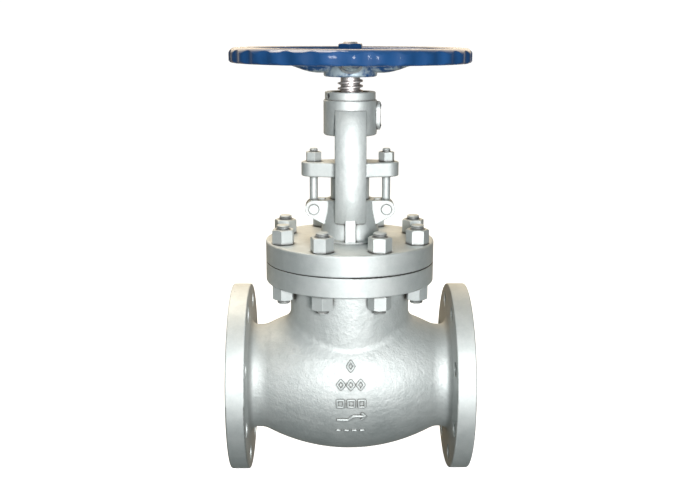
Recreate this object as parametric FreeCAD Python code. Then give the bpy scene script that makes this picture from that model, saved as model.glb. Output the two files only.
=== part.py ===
import FreeCAD, Part
import math
import os

# Flanged globe valve, DN 100, pressure class 150, bolted bonnet, outside screw and yoke.
# Millimetres. The pipe runs along X and the stem along Z. Every piece is drawn about the crossing
# of the two axes, and save() moves it so that the origin is the centre of the inlet flange face.

# Gaps between pieces
RUNNING_GAP = 0.06
SLIP_GAP = 0.1
LOOSE_GAP = 0.3

V = FreeCAD.Vector
TOP = V(0, 0, 1)
CENTRE = V(0, 0, 0)

# Pipe ends
FACE_TO_FACE = 292.0
END_FLANGE_R = 114.5
END_FLANGE_T = 23.9
RAISED_FACE_R = 78.6
RAISED_FACE_H = 1.6
PORT_R = 50.8
END_BOLT_PCR = 95.25
END_BOLT_R = 9.525
END_BOLTS = 8

# Body casting
BELLY_R = 90.0
PIPE_NECK_R = 63.6
PIPE_NECK_FILLET = 25.0
BELLY_MEETS_NECK = 104.0
CAVITY_R = 79.5
CAVITY_END = 100.0
BODY_NECK_R = 72.4
NECK_FILLET = 4.0
BODY_NECK_BORE = 60.0
SADDLE_FILLET = 13.0
WEB_TOP = 10.0
WEB_BOTTOM = -6.0
WEB_HALF = 62.0
WEB_REACH = 120.0
WEB_END_NEAR = 52.0
WEB_END_FAR = 68.0
WEB_BEND_IN = 10.0
WEB_BEND_OUT = 14.0
SEAT_HOLE_R = 53.0

# Joint between body and bonnet
JOINT_R = 101.7
BODY_FLANGE_BOTTOM = 125.0
JOINT_Z = 149.0
JOINT_GAP = 0.8
BONNET_FLANGE_TOP = 175.0
SPIGOT_R = 69.4
RECESS_R = 69.8
RECESS_DEPTH = 4.0
GASKET_T = 1.6
STUD_COUNT = 8
STUD_PCR = 86.0
STUD_R = 8.0
STUD_HOLE_R = 9.0
STUD_NUT_AF = 24.0
STUD_NUT_H = 17.5
STUD_TIP = 4.5
STUD_PITCH = 2.0
FIRST_STUD = 22.5
NUT_SINK = 0.8
NUT_SEAT_R = 14.4
NUT_SEAT_DEPTH = 19.0
# Turn of each hex about its own stud in degrees, going round from the first stud past +X
UPPER_NUT_TURNS = (11, 35, 20, 50, 25, -14, -6, -2)
LOWER_NUT_TURNS = (40, 5, 25, 12, 20, 30, 2, -20)

# Stuffing box, gland and packing
NECK_TOP = 224.0
NECK_TOP_R = 29.5
NECK_BASE_R = 36.5
NECK_COLLAR_H = 9.0
NECK_SHOULDER_H = 16.0
BASE_DISC_R = 42.0
BASE_DISC_H = 2.6
BOX_R = 23.5
BOX_BOTTOM = 173.0
BONNET_WEB_BOTTOM = 165.0
BONNET_HOLLOW_R = 52.0
BONNET_HOLLOW_TOP_R = 34.0
BUSH_R = 22.0
BUSH_HEAD_R = 27.0
BUSH_HEAD_H = 6.0
PACKING_RINGS = 5
PACKING_H = 7.0
PACKING_WASHER_H = 3.0
GLAND_BOLT_X = 43.5
LUG_Z = 212.6
LUG_R = 10.5
LUG_IN = 6.6
LUG_OUT = 14.0
LUG_FOOT_X = 22.0
LUG_FOOT_Z = 190.0
EYE_R = 9.8
EYE_T = 12.0
PIN_R = 4.0
PIN_HEAD_R = 6.0
PIN_HEAD_T = 2.4
PIN_CLIP_R = 5.4
PIN_CLIP_T = 1.6
EYEBOLT_R = 5.0
EYEBOLT_HOLE_R = 5.8
EYEBOLT_PITCH = 1.5
EYEBOLT_TOP = 284.7
GLAND_BOTTOM = 251.7
GLAND_TOP = 268.9
GLAND_NUT_AF = 17.0
GLAND_NUT_H = 11.6
LEFT_GLAND_NUT_TURN = 38.0
RIGHT_GLAND_NUT_TURN = 14.0
GLAND_END_R = 14.8
GLAND_HALF_WIDTH = 24.5
GLAND_BORE_R = 16.5
FOLLOWER_NECK_R = 19.0
FOLLOWER_NECK_H = 5.0

# Yoke, cast in one piece with the bonnet
LEG_HALF_WIDTH = 18.25
LEG_ROOT = 24.0
LEG_INSIDE = 30.0
LEG_FOOT_IN = 26.0
LEG_FOOT_BOTTOM = 190.0
LEG_FOOT_TOP = 226.0
LEG_CROWN = 6.0
# Outer face of the leg: (distance out, height)
LEG_STATIONS = (
    (37.0, 199.0), (41.8, 212.0), (45.6, 232.0), (47.0, 257.0),
    (46.4, 285.0), (43.4, 305.0), (38.4, 320.0), (32.4, 330.5),
)
RIB_HALF_WIDTH = 6.0
RIB_OUT_LOW = 41.0
RIB_OUT_HIGH = 38.5
RIB_BOTTOM = 176.0
RIB_TOP = 203.0
SLEEVE_R = 31.7
SLEEVE_BOTTOM = 300.7
SLEEVE_TOP = 342.0
SLEEVE_BORE = 22.5
RING_R = 30.0
RING_TOP = 351.7
GRUB_ANGLE = -60.0
GRUB_R = 2.9
PLATE_Z = 323.5
PLATE_X = 35.2
PLATE_HALF_WIDTH = 9.2
PLATE_HALF_HEIGHT = 15.6
PLATE_T = 0.8
PAD_BORDER = 1.3
RIVET_R = 1.6
RIVET_H = 0.9
RIVET_Z = 11.8

# Stem with its screw
STEM_R = 15.0
THREAD_PITCH = 6.0
THREAD_CREST_R = 14.9
THREAD_ROOT_R = 11.5
THREAD_START = 270.0
THREAD_END = 368.0
THREAD_GAP = 0.35
THREAD_SINK = 0.5
FLANK_SLOPE = math.tan(math.radians(15))
STEM_SQUARE = 19.0
STEM_END_R = 9.0
STEM_TOP = 409.0
COLLAR_R = 19.0
COLLAR_Z = 126.1
COLLAR_H = 5.0
COLLAR_CONE_H = 4.0
HEAD_R = 17.5
HEAD_BOTTOM = 28.3
HEAD_TOP = 40.0

# Disc and seat
SEAT_TOP = 17.0
SEAT_BORE = 48.0
SEAT_CONE = 4.0
SEAT_GAP = 0.3
SEAT_RING_R = 57.5
DISC_R = 54.0
DISC_PLUG_R = 47.5
DISC_BOTTOM = 8.0
DISC_TOP = 30.0
DISC_HUB_R = 26.0
DISC_HUB_TOP = 62.0
DISC_POCKET_R = 19.0
DISC_POCKET_BOTTOM = 26.0
DISC_NUT_AF = 44.0
DISC_NUT_TOP = 72.0
DISC_NUT_BOTTOM = 41.0
DISC_NUT_CORNER_R = 25.5
DISC_NUT_TOP_R = 22.4
DISC_NUT_GAP = 0.35

# Handwheel
WHEEL_R = 142.0
WHEEL_FLUTE = 2.4
WHEEL_LOBES = 30
RIM_IN = 124.0
RIM_BOTTOM = 385.0
RIM_TOP = 402.5
SPOKES = 5
HUB_R = 31.5
HUB_BOTTOM = 369.0
HUB_TOP = 393.0
WHEEL_WASHER_R = 17.0
WHEEL_WASHER_T = 2.5
WHEEL_NUT_AF = 27.0
WHEEL_NUT_H = 11.5
WHEEL_NUT_TURN = 24.0
# Spoke sections going outwards: (distance out, height, half width, half height)
SPOKE_STATIONS = (
    (20.0, 381.5, 13.0, 7.0), (44.0, 380.8, 12.0, 6.8), (58.0, 383.6, 10.8, 6.5),
    (74.0, 388.8, 9.8, 6.2), (98.0, 391.8, 8.8, 5.8), (130.0, 393.4, 9.4, 5.6),
)


def rounded_edges(corners):
    """Lines and arcs round a closed outline of (x, z, radius) corners in the XZ plane."""
    points = [V(x, 0, z) for x, z, radius in corners]
    starts = []
    arcs = []
    ends = []
    count = len(points)
    for i in range(count):
        here = points[i]
        radius = corners[i][2]
        before = (points[i - 1] - here).normalize()
        after = (points[(i + 1) % count] - here).normalize()
        half = before.getAngle(after) / 2
        if radius == 0:
            starts.append(here)
            arcs.append(None)
            ends.append(here)
            continue
        reach = radius / math.tan(half)
        bisector = (before + after).normalize()
        middle = here + bisector * (radius / math.sin(half) - radius)
        starts.append(here + before * reach)
        ends.append(here + after * reach)
        arcs.append(Part.Arc(starts[i], middle, ends[i]).toShape())
    edges = []
    for i in range(count):
        if arcs[i] is not None:
            edges.append(arcs[i])
        following = starts[(i + 1) % count]
        if ends[i].distanceToPoint(following) > 1e-6:
            edges.append(Part.LineSegment(ends[i], following).toShape())
    return edges


def outline(corners):
    return Part.Face(Part.Wire(rounded_edges(corners)))


def lathe(corners):
    """Solid of revolution about Z from (radius, height, corner radius) corners."""
    return outline(corners).revolve(CENTRE, TOP, 360)


def lathe_edges(edges):
    return Part.Face(Part.Wire(edges)).revolve(CENTRE, TOP, 360)


def along_x(shape):
    """Turn a shape drawn about Z so that its axis lies along X."""
    turned = shape.copy()
    turned.rotate(CENTRE, V(0, 1, 0), 90)
    return turned


def tube(outer, inner, bottom, top):
    return lathe([(inner, bottom, 0), (outer, bottom, 0), (outer, top, 0), (inner, top, 0)])


def rod(radius, bottom, top, x=0.0, y=0.0):
    return Part.makeCylinder(radius, top - bottom, V(x, y, bottom))


def rod_y(radius, y_from, y_to, x, z):
    return Part.makeCylinder(radius, y_to - y_from, V(x, y_from, z), V(0, 1, 0))


def extrude_y(corners, y_from, y_to):
    face = outline(corners)
    face.translate(V(0, y_from, 0))
    return face.extrude(V(0, y_to - y_from, 0))


def turned(shape, angle):
    copy = shape.copy()
    copy.rotate(CENTRE, TOP, angle)
    return copy


def moved(shape, x, y, z):
    copy = shape.copy()
    copy.translate(V(x, y, z))
    return copy


def mirrored_x(shape):
    return shape.mirror(CENTRE, V(1, 0, 0))


def ring_places(count, radius, first):
    """Centres of a bolt circle, with the angle of each from +X in degrees."""
    places = []
    for i in range(count):
        angle = first + 360.0 * i / count
        x = radius * math.cos(math.radians(angle))
        y = radius * math.sin(math.radians(angle))
        places.append((x, y, angle))
    return places


def hex_prism(across_flats, bottom, top):
    corner_r = across_flats / 2 / math.cos(math.radians(30))
    points = [V(x, y, bottom) for x, y, angle in ring_places(6, corner_r, 0)]
    return Part.Face(Part.makePolygon(points + [points[0]])).extrude(V(0, 0, top - bottom))


def hex_nut(across_flats, bore, height):
    """Hex nut standing on z=0, with both ends chamfered and a countersunk bore."""
    corner_r = across_flats / 2 / math.cos(math.radians(30)) + 0.01
    face_r = across_flats / 2 * 0.98
    drop = (corner_r - face_r) * math.tan(math.radians(29))
    envelope = lathe([
        (0, 0, 0), (face_r, 0, 0), (corner_r, drop, 0),
        (corner_r, height - drop, 0), (face_r, height, 0), (0, height, 0),
    ])
    sink = NUT_SINK
    hole = lathe([
        (0, -1, 0), (bore + sink + 1, -1, 0), (bore, sink, 0),
        (bore, height - sink, 0), (bore + sink + 1, height + 1, 0), (0, height + 1, 0),
    ])
    return hex_prism(across_flats, 0, height).common(envelope).cut(hole)


def threaded_tip(radius, bottom, length, pitch, depth):
    """Corners of the ringed end of a stud, going up its outside to the chamfered end."""
    corners = []
    turns = int(length / pitch)
    for i in range(turns):
        z = bottom + i * pitch
        corners.append((radius, z, 0))
        corners.append((radius - depth, z + pitch / 2, 0))
    end = bottom + length
    corners.append((radius, bottom + turns * pitch, 0))
    corners.append((radius - 1.2, end + 0.6, 0))
    return corners


# ---------------------------------------------------------------- body and trim

def bulge_radius(rise, half_length):
    """Radius of the arc that rises by this much over this half length."""
    return (rise * rise + half_length * half_length) / (2 * rise)


def body_barrel():
    """The two end flanges, pipe necks and rounded belly, as one turned shape along X."""
    big = bulge_radius(BELLY_R - PIPE_NECK_R, BELLY_MEETS_NECK)
    drop = big - BELLY_R
    fillet = PIPE_NECK_FILLET
    up = PIPE_NECK_R + fillet + drop
    x_fillet = math.sqrt((big + fillet) ** 2 - up ** 2)
    belly_x = x_fillet * big / (big + fillet)
    belly_r = up * big / (big + fillet) - drop
    lean = math.atan2(x_fillet, up)
    mid_x = x_fillet - fillet * math.sin(lean / 2)
    mid_r = PIPE_NECK_R + fillet - fillet * math.cos(lean / 2)
    face = FACE_TO_FACE / 2
    front = face - RAISED_FACE_H
    back = face - END_FLANGE_T
    right = [
        (0, face, 0), (RAISED_FACE_R, face, 0), (RAISED_FACE_R, front, 0),
        (END_FLANGE_R, front, 1.6), (END_FLANGE_R, back, 1.6), (PIPE_NECK_R, back, 9.0),
        (PIPE_NECK_R, x_fillet, 0), (0, x_fillet, 0),
    ]
    end = lathe(right)
    belly = lathe_edges([
        Part.LineSegment(V(0, 0, -x_fillet), V(PIPE_NECK_R, 0, -x_fillet)).toShape(),
        Part.Arc(V(PIPE_NECK_R, 0, -x_fillet), V(mid_r, 0, -mid_x), V(belly_r, 0, -belly_x)).toShape(),
        Part.Arc(V(belly_r, 0, -belly_x), V(BELLY_R, 0, 0), V(belly_r, 0, belly_x)).toShape(),
        Part.Arc(V(belly_r, 0, belly_x), V(mid_r, 0, mid_x), V(PIPE_NECK_R, 0, x_fillet)).toShape(),
        Part.LineSegment(V(PIPE_NECK_R, 0, x_fillet), V(0, 0, x_fillet)).toShape(),
        Part.LineSegment(V(0, 0, x_fillet), V(0, 0, -x_fillet)).toShape(),
    ])
    other = end.mirror(CENTRE, TOP)
    return along_x(belly.fuse([end, other]).removeSplitter())


def body_neck():
    """The upright neck with its flange for the bonnet."""
    top = JOINT_Z - JOINT_GAP / 2
    return lathe([
        (0, 0, 0), (BODY_NECK_R, 0, 0), (BODY_NECK_R, BODY_FLANGE_BOTTOM, NECK_FILLET),
        (JOINT_R, BODY_FLANGE_BOTTOM, 1.6), (JOINT_R, top, 0.8), (0, top, 0),
    ])


def on_saddle(edge):
    """True for the edges where the upright neck runs into the belly."""
    box = edge.BoundBox
    low_enough = box.ZMin > 35 and box.ZMax < 95
    middle = edge.valueAt((edge.FirstParameter + edge.LastParameter) / 2)
    across = math.hypot(middle.x, middle.y)
    return low_enough and abs(across - BODY_NECK_R) < 0.5


def body_cavity():
    """The hollow in the body, before the web that carries the seat."""
    belly = lathe_edges([
        Part.LineSegment(V(0, 0, -CAVITY_END), V(PORT_R, 0, -CAVITY_END)).toShape(),
        Part.Arc(V(PORT_R, 0, -CAVITY_END), V(CAVITY_R, 0, 0), V(PORT_R, 0, CAVITY_END)).toShape(),
        Part.LineSegment(V(PORT_R, 0, CAVITY_END), V(0, 0, CAVITY_END)).toShape(),
        Part.LineSegment(V(0, 0, CAVITY_END), V(0, 0, -CAVITY_END)).toShape(),
    ])
    half = FACE_TO_FACE / 2 + 1
    port = Part.makeCylinder(PORT_R, 2 * half, V(-half, 0, 0), V(1, 0, 0))
    bore = rod(BODY_NECK_BORE, WEB_TOP, JOINT_Z)
    return along_x(belly).fuse([port, bore])


def seat_web():
    """The wall that divides the inlet passage, below, from the outlet passage, above."""
    web = extrude_y([
        (-WEB_REACH, WEB_END_FAR, 0), (-WEB_HALF, WEB_TOP, WEB_BEND_IN),
        (WEB_HALF, WEB_TOP, WEB_BEND_OUT), (WEB_REACH, -WEB_END_NEAR, 0),
        (WEB_REACH, -WEB_END_FAR, 0), (WEB_HALF, WEB_BOTTOM, WEB_BEND_IN),
        (-WEB_HALF, WEB_BOTTOM, WEB_BEND_OUT), (-WEB_REACH, WEB_END_NEAR, 0),
    ], -CAVITY_R - 5, CAVITY_R + 5)
    return web.cut(rod(SEAT_HOLE_R, WEB_BOTTOM - 5, WEB_TOP + 5))


def body():
    shell = body_barrel().fuse(body_neck()).removeSplitter()
    saddle = [edge for edge in shell.Edges if on_saddle(edge)]
    shell = shell.makeFillet(SADDLE_FILLET, saddle)
    shell = shell.cut(body_cavity().cut(seat_web()))
    top = JOINT_Z - JOINT_GAP / 2
    shell = shell.cut(rod(RECESS_R, top - RECESS_DEPTH, top + 1))
    holes = []
    for x, y, angle in ring_places(STUD_COUNT, STUD_PCR, FIRST_STUD):
        holes.append(rod(STUD_HOLE_R, BODY_FLANGE_BOTTOM - 2, top + 2, x, y))
        holes.append(rod(NUT_SEAT_R, BODY_FLANGE_BOTTOM - NUT_SEAT_DEPTH, BODY_FLANGE_BOTTOM, x, y))
    for x, y, angle in ring_places(END_BOLTS, END_BOLT_PCR, FIRST_STUD):
        for side in (-1, 1):
            start = V(side * (FACE_TO_FACE / 2 + 1), y, x)
            holes.append(Part.makeCylinder(END_BOLT_R, END_FLANGE_T + 2, start, V(-side, 0, 0)))
    return shell.cut(holes)


def seat_ring():
    return lathe([
        (SEAT_BORE, WEB_BOTTOM, 0), (SEAT_HOLE_R - 0.05, WEB_BOTTOM, 0), (SEAT_HOLE_R - 0.05, WEB_TOP, 0),
        (SEAT_RING_R, WEB_TOP, 0), (SEAT_RING_R, SEAT_TOP, 1.0), (SEAT_BORE + SEAT_CONE, SEAT_TOP, 0),
        (SEAT_BORE, SEAT_TOP - SEAT_CONE, 0),
    ])


def disc():
    cone_low = SEAT_TOP - SEAT_CONE + SEAT_GAP * math.sqrt(2)
    cone_start = cone_low - (SEAT_BORE - DISC_PLUG_R)
    cone_end = cone_start + (DISC_R - DISC_PLUG_R)
    return lathe([
        (0, DISC_BOTTOM, 0), (DISC_PLUG_R - 3, DISC_BOTTOM, 2), (DISC_PLUG_R, cone_start, 0),
        (DISC_R, cone_end, 0),
        (DISC_R, DISC_TOP, 3), (DISC_HUB_R, DISC_TOP + 3, 6), (DISC_HUB_R, DISC_HUB_TOP, 1),
        (DISC_POCKET_R, DISC_HUB_TOP, 0), (DISC_POCKET_R, DISC_POCKET_BOTTOM, 0),
        (0, DISC_POCKET_BOTTOM, 0),
    ])


def disc_thrust_washer():
    return rod(DISC_POCKET_R - 0.5, DISC_POCKET_BOTTOM, HEAD_BOTTOM - LOOSE_GAP)


def disc_nut():
    bore = STEM_R + DISC_NUT_GAP
    plug = tube(DISC_POCKET_R - SLIP_GAP, bore, DISC_NUT_BOTTOM, DISC_HUB_TOP)
    head = hex_prism(DISC_NUT_AF, DISC_HUB_TOP, DISC_NUT_TOP)
    head = head.common(lathe([
        (0, DISC_HUB_TOP, 0), (DISC_NUT_CORNER_R, DISC_HUB_TOP, 0),
        (DISC_NUT_CORNER_R, DISC_NUT_TOP - 1.6, 0), (DISC_NUT_TOP_R, DISC_NUT_TOP, 0), (0, DISC_NUT_TOP, 0),
    ]))
    head = head.cut(rod(bore, DISC_HUB_TOP - 1, DISC_NUT_TOP + 1))
    return plug.fuse(head).removeSplitter()


# ---------------------------------------------------------------- bonnet and yoke

def bonnet_core():
    """Flange, base disc and tapered stuffing box as one turned shape, still solid."""
    bottom = JOINT_Z + JOINT_GAP / 2
    spigot_end = JOINT_Z - JOINT_GAP / 2 - RECESS_DEPTH + GASKET_T
    base = BONNET_FLANGE_TOP + BASE_DISC_H
    return lathe([
        (0, spigot_end, 0), (SPIGOT_R, spigot_end, 0.5), (SPIGOT_R, bottom, 0), (JOINT_R, bottom, 0.8),
        (JOINT_R, BONNET_FLANGE_TOP, 2.2), (BASE_DISC_R, BONNET_FLANGE_TOP, 1.0), (BASE_DISC_R, base, 1.2),
        (NECK_BASE_R, base, 3.0), (NECK_TOP_R + 1, NECK_TOP - NECK_SHOULDER_H, 6.0),
        (NECK_TOP_R, NECK_TOP - NECK_COLLAR_H, 3.0), (NECK_TOP_R, NECK_TOP, 1.2), (0, NECK_TOP, 0),
    ])


def lug_pair():
    """The two ears that hold one gland eyebolt, on the +X side."""
    foot = V(LUG_FOOT_X, 0, LUG_FOOT_Z)
    centre = V(GLAND_BOLT_X, 0, LUG_Z)
    down = foot - centre
    reach = down.Length
    swing = math.acos(LUG_R / reach)
    angle = math.atan2(down.z, down.x) + swing
    touch = centre + V(math.cos(angle), 0, math.sin(angle)) * LUG_R
    crown = centre + V(0, 0, LUG_R)
    side = centre + V(LUG_R, 0, 0)
    wire = Part.Wire([
        Part.LineSegment(V(LUG_FOOT_X, 0, crown.z), crown).toShape(),
        Part.Arc(crown, side, touch).toShape(),
        Part.LineSegment(touch, foot).toShape(),
        Part.LineSegment(foot, V(LUG_FOOT_X, 0, crown.z)).toShape(),
    ])
    ears = []
    for y in (-LUG_OUT, LUG_IN):
        ear = Part.Face(wire)
        ear.translate(V(0, y, 0))
        ears.append(ear.extrude(V(0, LUG_OUT - LUG_IN, 0)))
    pair = ears[0].fuse(ears[1])
    return pair.cut(rod_y(PIN_R + SLIP_GAP, -LUG_OUT - 1, LUG_OUT + 1, GLAND_BOLT_X, LUG_Z))


def leg_section(outside, z):
    """Flat-backed section of a leg at one height, with its crowned outer face at this distance out."""
    left = V(-LEG_HALF_WIDTH, outside - LEG_CROWN, z)
    right = V(LEG_HALF_WIDTH, outside - LEG_CROWN, z)
    back_right = V(LEG_HALF_WIDTH, LEG_ROOT, z)
    back_left = V(-LEG_HALF_WIDTH, LEG_ROOT, z)
    return Part.Wire([
        Part.Arc(left, V(0, outside, z), right).toShape(),
        Part.LineSegment(right, back_right).toShape(),
        Part.LineSegment(back_right, back_left).toShape(),
        Part.LineSegment(back_left, left).toShape(),
    ])


def yoke_leg():
    """One leg of the yoke on the +Y side, with the rib under its foot."""
    leg = Part.makeLoft([leg_section(outside, z) for outside, z in LEG_STATIONS], True, False)
    inside = outline([
        (0, LEG_FOOT_BOTTOM, 0), (LEG_FOOT_IN, LEG_FOOT_BOTTOM, 0), (LEG_FOOT_IN, LEG_FOOT_TOP, 0),
        (LEG_INSIDE, LEG_FOOT_TOP + 5, 4), (LEG_INSIDE, SLEEVE_BOTTOM - 6.7, 8),
        (LEG_ROOT, SLEEVE_BOTTOM + 2.3, 0),
        (LEG_ROOT, SLEEVE_TOP, 0), (0, SLEEVE_TOP, 0),
    ])
    inside.rotate(CENTRE, TOP, 90)
    inside.translate(V(-LEG_HALF_WIDTH - 1, 0, 0))
    leg = leg.cut(inside.extrude(V(2 * LEG_HALF_WIDTH + 2, 0, 0)))
    rib = outline([
        (LEG_FOOT_IN, RIB_BOTTOM, 0), (RIB_OUT_LOW, RIB_BOTTOM, 0),
        (RIB_OUT_HIGH, RIB_TOP, 0), (LEG_FOOT_IN, RIB_TOP, 0),
    ])
    rib.rotate(CENTRE, TOP, 90)
    rib.translate(V(-RIB_HALF_WIDTH, 0, 0))
    return leg.fuse(rib.extrude(V(2 * RIB_HALF_WIDTH, 0, 0)))


def bonnet_bores():
    """Everything that is hollow on the stem's axis, from the cavity below to the sleeve bore."""
    return [
        lathe([
            (0, JOINT_Z - 9, 0), (BONNET_HOLLOW_R + 4, JOINT_Z - 9, 0), (BONNET_HOLLOW_R, JOINT_Z + 3, 6),
            (BONNET_HOLLOW_TOP_R, BONNET_WEB_BOTTOM, 6), (0, BONNET_WEB_BOTTOM, 0),
        ]),
        rod(BUSH_R, BONNET_WEB_BOTTOM - 2, BOX_BOTTOM),
        rod(BOX_R, BOX_BOTTOM, NECK_TOP + 2),
        rod(SLEEVE_BORE, SLEEVE_BOTTOM - 3, SLEEVE_TOP + 3),
    ]


def plate_slab(border, x_from, x_to):
    """Upright slab with round ends, the shape of the plate on the sleeve with this much added all round."""
    radius = PLATE_HALF_WIDTH + border
    straight = PLATE_HALF_HEIGHT - PLATE_HALF_WIDTH
    thickness = x_to - x_from
    middle = Part.makeBox(thickness, 2 * radius, 2 * straight, V(x_from, -radius, PLATE_Z - straight))
    ends = [
        Part.makeCylinder(radius, thickness, V(x_from, 0, PLATE_Z + z), V(1, 0, 0))
        for z in (-straight, straight)
    ]
    return middle.fuse(ends).removeSplitter()


def bonnet():
    sleeve = lathe([
        (0, SLEEVE_BOTTOM, 0), (SLEEVE_R, SLEEVE_BOTTOM, 3.0),
        (SLEEVE_R, SLEEVE_TOP, 0.8), (0, SLEEVE_TOP, 0),
    ])
    pad = plate_slab(PAD_BORDER, LEG_ROOT, PLATE_X)
    leg = yoke_leg()
    lugs = lug_pair()
    solid = bonnet_core().fuse([sleeve, pad, leg, turned(leg, 180), lugs, turned(lugs, 180)])
    holes = bonnet_bores()
    for x, y, angle in ring_places(STUD_COUNT, STUD_PCR, FIRST_STUD):
        holes.append(rod(STUD_HOLE_R, JOINT_Z - 6, BONNET_FLANGE_TOP + 2, x, y))
    return solid.cut(holes).removeSplitter()


def bonnet_gasket():
    bottom = JOINT_Z - JOINT_GAP / 2 - RECESS_DEPTH
    return tube(RECESS_R - LOOSE_GAP, BODY_NECK_BORE + 1, bottom, bottom + GASKET_T)


def bonnet_studs():
    low = BODY_FLANGE_BOTTOM - STUD_NUT_H
    high = BONNET_FLANGE_TOP + STUD_NUT_H
    upper = threaded_tip(STUD_R - SLIP_GAP, high, STUD_TIP, STUD_PITCH, 0.9)
    lower = threaded_tip(STUD_R - SLIP_GAP, -low, STUD_TIP, STUD_PITCH, 0.9)
    corners = [(0, low - STUD_TIP - 0.6, 0)]
    corners += [(r, -z, radius) for r, z, radius in reversed(lower)]
    corners += upper
    corners.append((0, high + STUD_TIP + 0.6, 0))
    stud = lathe(corners)
    places = ring_places(STUD_COUNT, STUD_PCR, FIRST_STUD)
    return Part.makeCompound([moved(stud, x, y, 0) for x, y, angle in places])


def bonnet_nuts(upper):
    nuts = []
    nut = hex_nut(STUD_NUT_AF, STUD_R, STUD_NUT_H)
    lift = BONNET_FLANGE_TOP if upper else BODY_FLANGE_BOTTOM - STUD_NUT_H
    turns = UPPER_NUT_TURNS if upper else LOWER_NUT_TURNS
    for place, turn in zip(ring_places(STUD_COUNT, STUD_PCR, FIRST_STUD), turns):
        nuts.append(moved(turned(nut, turn), place[0], place[1], lift))
    return Part.makeCompound(nuts)


def backseat_bush():
    """Bush pressed up into the bonnet, with the cone that the stem collar closes on."""
    bore = STEM_R + LOOSE_GAP
    head_bottom = BONNET_WEB_BOTTOM - BUSH_HEAD_H
    return lathe([
        (STEM_R + 4.6, head_bottom, 0), (BUSH_HEAD_R, head_bottom, 1), (BUSH_HEAD_R, BONNET_WEB_BOTTOM, 0),
        (BUSH_R - RUNNING_GAP, BONNET_WEB_BOTTOM, 0), (BUSH_R - RUNNING_GAP, BOX_BOTTOM, 0),
        (bore, BOX_BOTTOM, 0), (bore, BONNET_WEB_BOTTOM - 1.7, 0),
    ])


# ---------------------------------------------------------------- packing and gland

def packing_washer():
    return tube(BOX_R - SLIP_GAP, STEM_R + LOOSE_GAP, BOX_BOTTOM, BOX_BOTTOM + PACKING_WASHER_H)


def packing_ring(index):
    bottom = BOX_BOTTOM + PACKING_WASHER_H + index * PACKING_H
    return tube(BOX_R - SLIP_GAP, STEM_R + RUNNING_GAP, bottom, bottom + PACKING_H)


def gland_follower():
    bottom = BOX_BOTTOM + PACKING_WASHER_H + PACKING_RINGS * PACKING_H
    bore = STEM_R + LOOSE_GAP
    outside = BOX_R - LOOSE_GAP
    top = GLAND_BOTTOM + FOLLOWER_NECK_H
    return lathe([
        (bore, bottom, 0), (outside, bottom, 0), (outside, GLAND_BOTTOM, 0),
        (FOLLOWER_NECK_R, GLAND_BOTTOM, 0), (FOLLOWER_NECK_R, top, 0.8), (bore, top, 0),
    ])


def gland_flange():
    """Oval plate: a round middle with two round ends, joined by their common tangents."""
    lean = math.asin((GLAND_HALF_WIDTH - GLAND_END_R) / GLAND_BOLT_X)
    mid = V(GLAND_HALF_WIDTH * math.sin(lean), GLAND_HALF_WIDTH * math.cos(lean), 0)
    tip = V(GLAND_BOLT_X + GLAND_END_R * math.sin(lean), GLAND_END_R * math.cos(lean), 0)
    far = GLAND_BOLT_X + GLAND_END_R
    edges = [
        Part.Arc(V(-mid.x, mid.y, 0), V(0, GLAND_HALF_WIDTH, 0), mid).toShape(),
        Part.LineSegment(mid, tip).toShape(),
        Part.Arc(tip, V(far, 0, 0), V(tip.x, -tip.y, 0)).toShape(),
        Part.LineSegment(V(tip.x, -tip.y, 0), V(mid.x, -mid.y, 0)).toShape(),
        Part.Arc(V(mid.x, -mid.y, 0), V(0, -GLAND_HALF_WIDTH, 0), V(-mid.x, -mid.y, 0)).toShape(),
        Part.LineSegment(V(-mid.x, -mid.y, 0), V(-tip.x, -tip.y, 0)).toShape(),
        Part.Arc(V(-tip.x, -tip.y, 0), V(-far, 0, 0), V(-tip.x, tip.y, 0)).toShape(),
        Part.LineSegment(V(-tip.x, tip.y, 0), V(-mid.x, mid.y, 0)).toShape(),
    ]
    plate = Part.Face(Part.Wire(edges)).extrude(V(0, 0, GLAND_TOP - GLAND_BOTTOM))
    plate = plate.makeFillet(1.6, [edge for edge in plate.Edges if edge.BoundBox.ZLength < 0.01])
    plate.translate(V(0, 0, GLAND_BOTTOM))
    socket_top = GLAND_BOTTOM + FOLLOWER_NECK_H + LOOSE_GAP
    holes = [
        rod(FOLLOWER_NECK_R + LOOSE_GAP, GLAND_BOTTOM - 1, socket_top),
        rod(GLAND_BORE_R, GLAND_BOTTOM, GLAND_TOP + 1),
    ]
    for x in (-GLAND_BOLT_X, GLAND_BOLT_X):
        holes.append(rod(EYEBOLT_HOLE_R, GLAND_BOTTOM - 1, GLAND_TOP + 1, x))
    return plate.cut(holes)


def gland_eyebolt(side):
    eye = lathe([
        (0, -EYE_T / 2, 0), (EYE_R, -EYE_T / 2, 1.2), (EYE_R, EYE_T / 2, 1.2), (0, EYE_T / 2, 0),
    ])
    eye.rotate(CENTRE, V(1, 0, 0), 90)
    eye.translate(V(GLAND_BOLT_X, 0, LUG_Z))
    thread_from = GLAND_TOP - 10
    corners = [(0, LUG_Z, 0), (EYEBOLT_R, LUG_Z, 0)]
    corners += threaded_tip(EYEBOLT_R, thread_from, EYEBOLT_TOP - thread_from - 0.6, EYEBOLT_PITCH, 0.6)
    corners.append((0, EYEBOLT_TOP, 0))
    bolt = eye.fuse(moved(lathe(corners), GLAND_BOLT_X, 0, 0))
    bolt = bolt.cut(rod_y(PIN_R + SLIP_GAP, -EYE_T, EYE_T, GLAND_BOLT_X, LUG_Z))
    return bolt if side > 0 else mirrored_x(bolt)


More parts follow.
